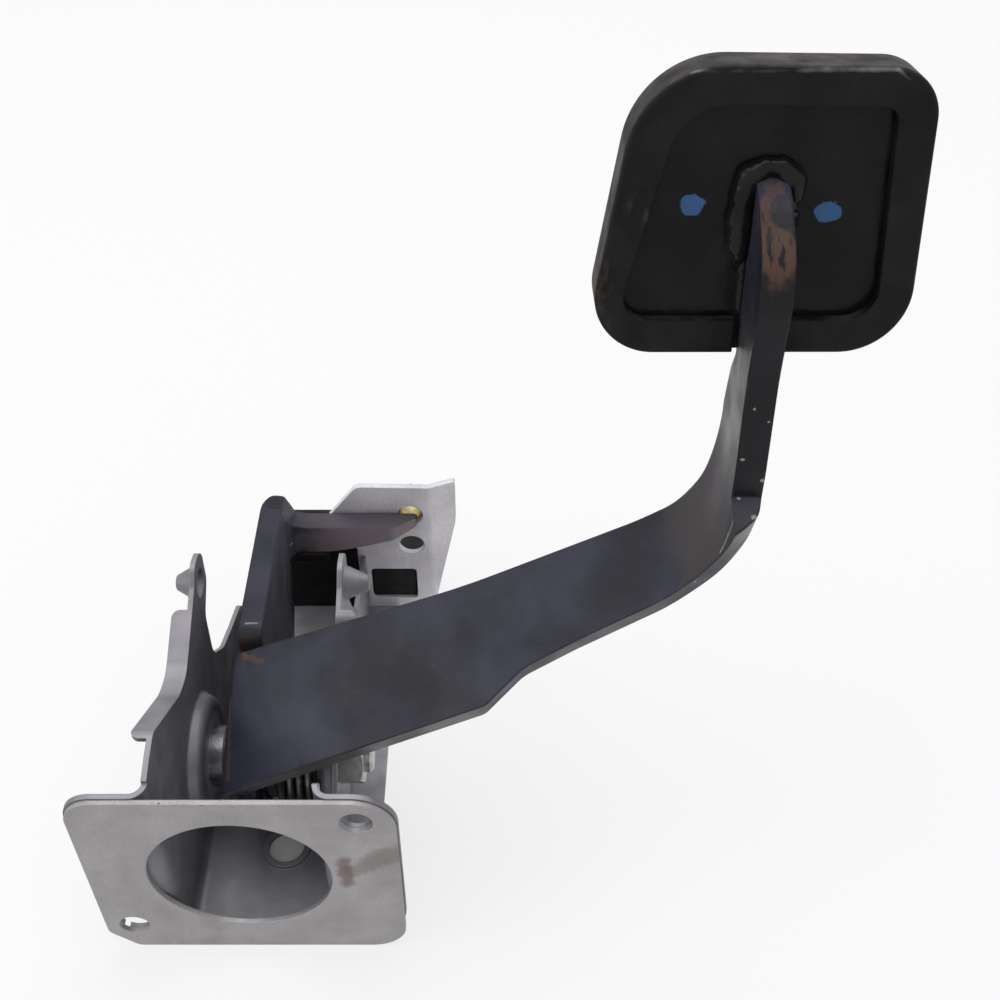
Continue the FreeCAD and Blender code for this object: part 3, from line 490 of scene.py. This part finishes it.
# Painted shade: the sleeve's plating is painted far darker than the bolt's, for the dark gap between
# the left dish and the arm.
sleeve_shaded_plating = plated_fastener("sleeve_zinc_painted_shade", sleeve_dark, sleeve_light)
wear(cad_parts["spacer_sleeve"], sleeve_shaded_plating)

bush_finish = new_finish("bush_nylon")
settle(
    bush_finish,
    over(bush_finish, nylon_dark, nylon_light, cloud(bush_finish, 200.0, 0.3, 0.7)),
    between(bush_finish, cloud(bush_finish, 500.0, 0.3, 0.7), 0.4, 0.55),
)
for bush in ("bush_left", "bush_right"):
    wear(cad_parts[bush], bush_finish)

spring_finish = plated_fastener("spring_wire", spring_dark, spring_light)
wear(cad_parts["return_spring"], spring_finish)


# Pedal arm and hub
# One bar of 7 mm plate, cut, folded and welded to the hub tube, in semi-gloss black paint.
# It is chipped at the wide bend, worn to brown primer at the tip and rusty at its left end.
paint_dark = (0.0145, 0.0145, 0.0205, 1)
paint_light = (0.037, 0.038, 0.062, 1)
paint_scratch = (0.085, 0.085, 0.09, 1)
paint_specular = 0.2
near_edge_grey = (0.075, 0.066, 0.066, 1)
near_edge_way = (0.19, -0.91, -0.37)
near_edge_centre = (0.048, 0.022, 0.016)
near_edge_reach = (0.062, 0.024, 0.042)
plate_front_brown = (0.044, 0.030, 0.031, 1)
plate_front_centre = (-0.0035, 0.066, 0.015)
plate_front_reach = (0.006, 0.010, 0.030)
upright_centre = (0.127, 0.042, 0.138)
upright_reach = (0.014, 0.042, 0.070)
upright_left_centre = (0.122, 0.045, 0.110)
upright_left_reach = (0.020, 0.030, 0.050)
side_plate_centre = (0.000, 0.092, 0.010)
side_plate_reach = (0.010, 0.036, 0.034)
blade_centre = (0.026, 0.127, 0.006)
blade_reach = (0.030, 0.012, 0.026)
primer_brown = (0.115, 0.062, 0.046, 1)
tip_centre = (0.1275, 0.0490, 0.1700)
tip_reach = (0.0055, 0.0145, 0.0125)
tip_way = (0.0, -0.85, 0.52)
spill_centre = (0.1305, 0.0508, 0.1742)
spill_reach = (0.0048, 0.0052, 0.0040)
rust_brown = (0.12, 0.058, 0.030, 1)
fold_left = (-0.0068, 0.0650, 0.0163)
fold_middle = (-0.0039, 0.0594, 0.0207)
fold_right = (0.0014, 0.0561, 0.0226)
left_end_top = (-0.0080, 0.0491, 0.0137)
left_end_foot = (-0.0064, 0.0270, 0.0059)
bare_steel = (0.33, 0.32, 0.31, 1)
rubbed_grey = (0.09, 0.085, 0.08, 1)
chip_places = (
    ((0.1300, 0.0365, 0.1298), 0.0004),
    ((0.1263, 0.0369, 0.1332), 0.0004),
    ((0.1253, 0.0351, 0.1199), 0.0005),
    ((0.1304, 0.0345, 0.1139), 0.0006),
    ((0.1256, 0.0341, 0.1087), 0.0005),
    ((0.1288, 0.0296, 0.1069), 0.0008),
    ((0.1285, 0.0310, 0.1004), 0.0006),
    ((0.1179, 0.0315, 0.0831), 0.0005),
    ((0.0007, 0.1203, 0.0058), 0.0007),
)
bend_scratch_top = (0.1240, 0.0292, 0.1062)
bend_scratch_middle = (0.1235, 0.0298, 0.1010)
bend_scratch_foot = (0.1223, 0.0295, 0.0955)
plate_mark_left = (-0.0049, 0.0694, 0.0241)
plate_mark_right = (-0.0016, 0.0694, 0.0243)
scratch_half_width = 0.0004


def black_paint(name):
    """Semi-gloss black paint over plate: bluish clouds, faint scratches and orange peel."""
    material = new_finish(name)
    clouds = cloud(material, 42.0, 0.30, 0.72, detail=6.0)
    scratches = cloud(
        material, 160.0, 0.66, 0.70, detail=1.0, stretch=(0.25, 9.0, 9.0), turn=(0.4, 0.5, 0.3)
    )
    colour = over(material, paint_dark, paint_light, clouds)
    colour = over(material, colour, paint_scratch, scratches, share=0.1)
    roughness = between(material, cloud(material, 75.0, 0.3, 0.7), 0.30, 0.50)
    peel = cloud(material, 700.0, 0.2, 0.8, detail=2.0)
    swell = cloud(material, 90.0, 0.2, 0.8, detail=2.0)
    normal = bumps(material, swell, 0.00012, rounded(material, 0.0010))
    normal = bumps(material, peel, 0.00002, normal)
    return material, colour, roughness, normal


def patches(material, places, ragged, grain, softness):
    """A mask of small torn patches: places holds (centre, reach) in metres."""
    place = place_on(material)
    nearest = 10.0
    for centre, reach in places:
        away = vector_math(material, "DISTANCE", place, centre, output="Value")
        distance = math_of(material, "DIVIDE", away, reach)
        nearest = math_of(material, "MINIMUM", nearest, distance)
    return torn_edge(material, nearest, ragged, grain, softness)


arm_finish, arm_colour, arm_rough, arm_normal = black_paint("arm_paint")
near_edge = both(
    arm_finish,
    facing(arm_finish, near_edge_way, 0.88, 0.95),
    spot(arm_finish, near_edge_centre, near_edge_reach, ragged=0.3, softness=0.3),
)
near_edge_thickness = between(arm_finish, cloud(arm_finish, 140.0, 0.3, 0.6), 0.55, 1.0)
near_edge = both(arm_finish, near_edge, near_edge_thickness)
arm_colour = over(arm_finish, arm_colour, near_edge_grey, near_edge)

# The paint's tone where the light in the photo differs: the upright's narrow face and its
# left face, the side plate's right face, and the blade's front and top.
for tone_centre, tone_reach, tone_way, tone, tone_share in (
    (upright_centre, upright_reach, (0.0, -0.93, 0.37), (0.005, 0.005, 0.006, 1), 0.85),
    (upright_left_centre, upright_left_reach, (-1.0, 0.0, 0.1), (0.060, 0.052, 0.052, 1), 0.7),
    (side_plate_centre, side_plate_reach, (1.0, 0.0, 0.0), (0.085, 0.082, 0.10, 1), 0.8),
    (blade_centre, blade_reach, (0.0, -1.0, 0.0), (0.25, 0.205, 0.23, 1), 0.8),
    (blade_centre, blade_reach, (0.0, 0.0, 1.0), (0.085, 0.072, 0.085, 1), 0.8),
):
    toned = both(
        arm_finish,
        spot(arm_finish, tone_centre, tone_reach, ragged=0.3, grain=120.0, softness=0.4),
        facing(arm_finish, tone_way, 0.6, 0.85),
    )
    arm_colour = over(arm_finish, arm_colour, tone, toned, share=tone_share)

plate_front = both(
    arm_finish,
    spot(arm_finish, plate_front_centre, plate_front_reach, ragged=0.3, softness=0.3),
    facing(arm_finish, (0.0, -1.0, 0.0), 0.75, 0.9),
)
arm_colour = over(arm_finish, arm_colour, plate_front_brown, plate_front, share=0.8)

tip_patch = both(
    arm_finish,
    spot(arm_finish, tip_centre, tip_reach, ragged=0.35, softness=0.3),
    facing(arm_finish, tip_way, 0.55, 0.75),
)
tip_flakes = cloud(arm_finish, 240.0, 0.36, 0.46, detail=3.0, stretch=(2.2, 1.0, 0.5))
tip_spill = spot(arm_finish, spill_centre, spill_reach, ragged=0.7, grain=300.0)
tip_patch = both(arm_finish, tip_patch, tip_flakes)
tip_patch = both(arm_finish, tip_patch, outside(arm_finish, tip_spill))
arm_colour = over(arm_finish, arm_colour, primer_brown, tip_patch, share=0.65)

for rust_start, rust_end, rust_half_width, rust_share in (
    (fold_left, fold_middle, 0.0018, 0.5),
    (fold_middle, fold_right, 0.0014, 0.4),
    (left_end_top, left_end_foot, 0.0009, 0.45),
):
    rust = stroke(
        arm_finish, rust_start, rust_end, rust_half_width, ragged=1.0, grain=420.0, softness=0.8
    )
    arm_colour = over(arm_finish, arm_colour, rust_brown, rust, share=rust_share)

chips = patches(arm_finish, chip_places, ragged=1.8, grain=1600.0, softness=0.5)
arm_colour = over(arm_finish, arm_colour, bare_steel, chips, share=0.9)
for scratch_start, scratch_end in (
    (bend_scratch_top, bend_scratch_middle),
    (bend_scratch_middle, bend_scratch_foot),
    (plate_mark_left, plate_mark_right),
):
    scratch = stroke(
        arm_finish, scratch_start, scratch_end, scratch_half_width, ragged=0.8, grain=1500.0
    )
    arm_colour = over(arm_finish, arm_colour, bare_steel, scratch, share=0.6)

rubs = both(
    arm_finish,
    rubbed_edges(arm_finish, 0.0012, 0.02, 0.10),
    cloud(arm_finish, 650.0, 0.52, 0.56, detail=3.0),
)
rubs = both(arm_finish, rubs, cloud(arm_finish, 60.0, 0.5, 0.6))
arm_colour = over(arm_finish, arm_colour, rubbed_grey, rubs, share=0.4)
tip_roughening = math_of(arm_finish, "MULTIPLY", tip_patch, 0.2)
arm_rough = math_of(arm_finish, "ADD", arm_rough, tip_roughening)
settle(arm_finish, arm_colour, arm_rough, arm_normal, specular=paint_specular)
wear(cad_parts["pedal_arm"], arm_finish)

hub_finish = settle(*black_paint("hub_paint"), specular=paint_specular)
wear(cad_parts["pivot_hub"], hub_finish)


# Pad plate
# A plate stamped from steel sheet, in glossy black paint, with two dabs of blue inspection
# paint on its back, one each side of the arm.
pad_place = Vector((0.127, 0.060, 0.169))
pad_lean = math.radians(11.31)
plate_dark = (0.005, 0.0047, 0.0055, 1)
plate_light = (0.010, 0.0095, 0.0105, 1)
dab_blue = (0.045, 0.115, 0.27, 1)
dab_reach = (0.0029, 0.003, 0.0024)


def on_pad(u, v, t):
    """A point of the pad, in metres: u across, v up the plate, t from its back to the tread."""
    along = Vector((u, v * math.sin(pad_lean) + t * math.cos(pad_lean), 0))
    along.z = v * math.cos(pad_lean) - t * math.sin(pad_lean)
    return pad_place + along


plate_finish = new_finish("pad_plate_gloss")
plate_colour = over(plate_finish, plate_dark, plate_light, cloud(plate_finish, 90.0, 0.35, 0.7))
dabs = either(
    plate_finish,
    spot(plate_finish, on_pad(-0.0157, 0.0014, 0), dab_reach, ragged=0.7, softness=0.12),
    spot(plate_finish, on_pad(0.0138, -0.0001, 0), dab_reach, ragged=0.7, softness=0.12),
)
plate_colour = over(plate_finish, plate_colour, dab_blue, dabs)
plate_rough = between(plate_finish, cloud(plate_finish, 110.0, 0.3, 0.7), 0.16, 0.34)
plate_normal = bumps(plate_finish, cloud(plate_finish, 260.0, 0.2, 0.8, detail=2.0), 0.00006)
settle(plate_finish, plate_colour, plate_rough, plate_normal, specular=0.13)
wear(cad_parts["pad_plate"], plate_finish)


# Weld beads
# Weld under glossy paint: a thick bead round the arm's tip and a run beside it, a thin bead
# down each side of the tip, and a ring round the hub on each face of the side plate. A burr
# in the arm's own paint stands on the corner of its left end.
bead_dark = (0.006, 0.006, 0.007, 1)
bead_light = (0.014, 0.014, 0.016, 1)
bead_dice = random.Random(7)
tip_route = [
    (on_pad(-0.0044, -0.0105, 0.0000), 0.0018),
    (on_pad(-0.0052, -0.0070, -0.0006), 0.0031),
    (on_pad(-0.0052, -0.0015, -0.0010), 0.0033),
    (on_pad(-0.0050, 0.0035, -0.0012), 0.0031),
    (on_pad(-0.0042, 0.0078, -0.0010), 0.0032),
    (on_pad(-0.0010, 0.0100, -0.0006), 0.0024),
    (on_pad(0.0026, 0.0098, -0.0008), 0.0024),
    (on_pad(0.0050, 0.0072, -0.0012), 0.0032),
    (on_pad(0.0052, 0.0045, -0.0010), 0.0028),
    (on_pad(0.0052, 0.0016, -0.0004), 0.0017),
]
run_route = [
    (Vector((0.1308, 0.0535, 0.1742)), 0.0016),
    (Vector((0.1316, 0.0560, 0.1712)), 0.0022),
    (Vector((0.1324, 0.0590, 0.1662)), 0.0022),
]
burr_route = [
    (Vector((-0.0060, 0.0264, 0.0012)), 0.0010),
    (Vector((-0.0052, 0.0268, -0.0015)), 0.0014),
    (Vector((-0.0044, 0.0274, -0.0034)), 0.0011),
]
side_bead_foot = -0.0240
side_bead_top_radius = 0.0013
side_bead_foot_radius = 0.0012
hub_centre = Vector((0.0, pivot_y, pivot_z))
hub_radius = (hub_high.z - hub_low.z) / 2
ring_bead_radius = 0.0015
ring_clearance = 0.0004
ring_points = 32


def new_piece(name, shape, body, finish):
    """Turns a finished bmesh into an object that rides on a CAD body."""
    mesh = bpy.data.meshes.new(name)
    shape.to_mesh(mesh)
    shape.free()
    mesh.shade_smooth()
    piece = bpy.data.objects.new(name, mesh)
    bpy.context.scene.collection.objects.link(piece)
    wear(piece, finish)
    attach(piece, body)
    return piece


def drops_along(route, stray, step):
    """Overlapping drops of weld along a route of (point, radius), a little astray."""
    drops = bmesh.new()
    for (start, start_radius), (end, end_radius) in zip(route, route[1:]):
        count = max(1, round((end - start).length / step))
        for i in range(count):
            part = i / count
            radius = start_radius + (end_radius - start_radius) * part
            radius *= bead_dice.uniform(0.94, 1.05)
            place = start.lerp(end, part)
            place = place + Vector([bead_dice.uniform(-1, 1) * stray for _ in range(3)])
            bmesh.ops.create_icosphere(
                drops, subdivisions=2, radius=radius, matrix=Matrix.Translation(place)
            )
    return drops


def melt(piece, voxel, rounds):
    """Melts overlapping drops into one skin and smooths the steps between them."""
    remesh = piece.modifiers.new("melt", "REMESH")
    remesh.mode = "VOXEL"
    remesh.voxel_size = voxel
    remesh.use_smooth_shade = True
    smooth = piece.modifiers.new("settle", "SMOOTH")
    smooth.factor = 0.5
    smooth.iterations = rounds


def weld_bead(name, route, finish, stray, step, rounds, voxel=0.00030):
    """One bead of weld along a route, riding on the pedal."""
    piece = new_piece(name, drops_along(route, stray, step), "pedal", finish)
    melt(piece, voxel, rounds)


bead_finish = new_finish("weld_gloss")
settle(
    bead_finish,
    over(bead_finish, bead_dark, bead_light, cloud(bead_finish, 90.0, 0.35, 0.7)),
    between(bead_finish, cloud(bead_finish, 130.0, 0.3, 0.7), 0.10, 0.24),
    bumps(bead_finish, cloud(bead_finish, 500.0, 0.2, 0.8, detail=2.0), 0.00004),
    specular=0.14,
)
weld_bead("weld_bead_tip", tip_route, bead_finish, stray=0.00015, step=0.0016, rounds=16)
weld_bead("weld_bead_run", run_route, bead_finish, stray=0.0001, step=0.0012, rounds=8)
weld_bead("weld_burr", burr_route, arm_finish, stray=0.0002, step=0.0010, rounds=4, voxel=0.00025)

for bead_name, bead_u, bead_top in (
    ("weld_bead_left", -0.0034, -0.0090),
    ("weld_bead_right", 0.0044, -0.0005),
):
    side_route = [
        (on_pad(bead_u, bead_top, 0.0), side_bead_top_radius),
        (on_pad(bead_u, side_bead_foot, 0.0), side_bead_foot_radius),
    ]
    weld_bead(
        bead_name, side_route, bead_finish, stray=0.00012, step=0.0009, rounds=2, voxel=0.00025
    )

for bead_name, bead_x in (("weld_bead_hub_outer", -0.0072), ("weld_bead_hub_inner", 0.0002)):
    ring_route = []
    for i in range(ring_points + 1):
        angle = 2 * math.pi * i / ring_points
        across = Vector((0, math.cos(angle), math.sin(angle)))
        drop = hub_centre + across * (hub_radius + ring_clearance) + Vector((bead_x, 0, 0))
        ring_route.append((drop, ring_bead_radius))
    weld_bead(bead_name, ring_route, bead_finish, stray=0.00015, step=0.0012, rounds=2)


# Pad rubber
# A moulded rubber cover that grips the plate by a lip all round, ribbed on its tread side;
# brown dust lies on its top, a painted highlight runs along the top's back edge, and the
# rim is scuffed.
rubber_dark = (0.006, 0.0055, 0.006, 1)
rubber_light = (0.012, 0.0115, 0.012, 1)
dust_brown = (0.062, 0.050, 0.048, 1)
highlight_paint_grey = (0.20, 0.195, 0.215, 1)
highlight_left = (0.1085, 0.0636, 0.1990)
highlight_corner = (0.1500, 0.0633, 0.1994)
highlight_right = (0.1570, 0.0628, 0.1945)
highlight_half_width = 0.0007
scuff_brown = (0.075, 0.055, 0.042, 1)
scuff_centre = (0.0925, 0.061, 0.150)
scuff_reach = (0.006, 0.012, 0.016)
small_scuff_centre = on_pad(-0.0268, 0.0025, -0.003)
small_scuff_reach = (0.004, 0.004, 0.006)

rubber_finish, rubber_colour, rubber_rough, rubber_normal = dusty_rubber(
    "pad_rubber_black", rubber_dark, rubber_light
)
dust = both(
    rubber_finish,
    facing(rubber_finish, (0.0, math.sin(pad_lean), math.cos(pad_lean)), 0.5, 0.9),
    cloud(rubber_finish, 120.0, 0.35, 0.68, detail=6.0),
)
rubber_colour = over(rubber_finish, rubber_colour, dust_brown, dust, share=0.85)
# Painted highlight: a pale streak along the top's back edge, for the light the edge catches.
for highlight_start, highlight_end in ((highlight_left, highlight_corner), (highlight_corner, highlight_right)):
    painted_highlight = stroke(
        rubber_finish, highlight_start, highlight_end, highlight_half_width, ragged=0.9, grain=260.0, softness=0.9
    )
    rubber_colour = over(rubber_finish, rubber_colour, highlight_paint_grey, painted_highlight, share=0.8)
scuff_zone = either(
    rubber_finish,
    spot(rubber_finish, scuff_centre, scuff_reach, ragged=0.8, softness=0.7),
    spot(rubber_finish, small_scuff_centre, small_scuff_reach, ragged=0.9, softness=0.8),
)
scuff_streaks = cloud(rubber_finish, 420.0, 0.45, 0.6, stretch=(1, 1, 0.3))
scuffs = both(rubber_finish, scuff_zone, scuff_streaks)
rubber_colour = over(rubber_finish, rubber_colour, scuff_brown, scuffs, share=0.6)
settle(rubber_finish, rubber_colour, rubber_rough, rubber_normal, specular=0.15)
wear(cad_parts["pad_rubber"], rubber_finish)
